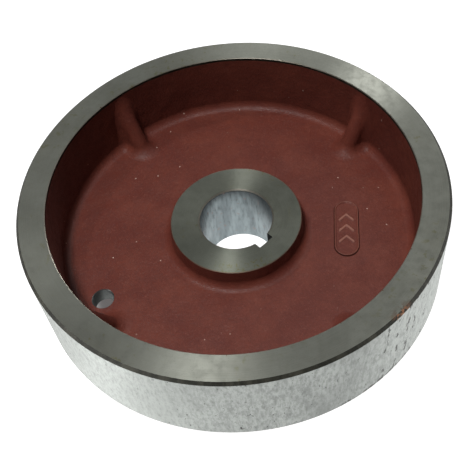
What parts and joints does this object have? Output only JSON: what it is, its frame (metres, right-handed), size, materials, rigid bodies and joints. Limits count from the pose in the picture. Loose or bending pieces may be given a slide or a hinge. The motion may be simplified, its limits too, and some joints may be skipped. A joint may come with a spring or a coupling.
{
  "type": "flywheel",
  "caption": "Heavy-rimmed cast-iron flywheel with a recessed web, a long keyed hub, buttress ribs and one drilled hole.",
  "frame": {"origin": "centre of the hub's back face, on the bore's axis", "axes": "+Z along the bore towards the open, recessed side; +X and +Y across the rim, with the ribs at 37 degrees and every 90 degrees from there about +Z"},
  "size_m": [0.3048, 0.3048, 0.094],
  "materials": {
    "machined_iron": "turned grey iron, lightly oiled, with faint concentric tool marks and small stains",
    "red_primer": "red oxide primer over the as-cast skin, satin"
  },
  "bodies": {
    "root": {"rim": "machined_iron", "web": "red_primer", "hub": "machined_iron", "rib_1": "red_primer", "rib_2": "red_primer", "rib_3": "red_primer", "rib_4": "red_primer", "cast_badge": "red_primer"}
  },
  "joints": []
}
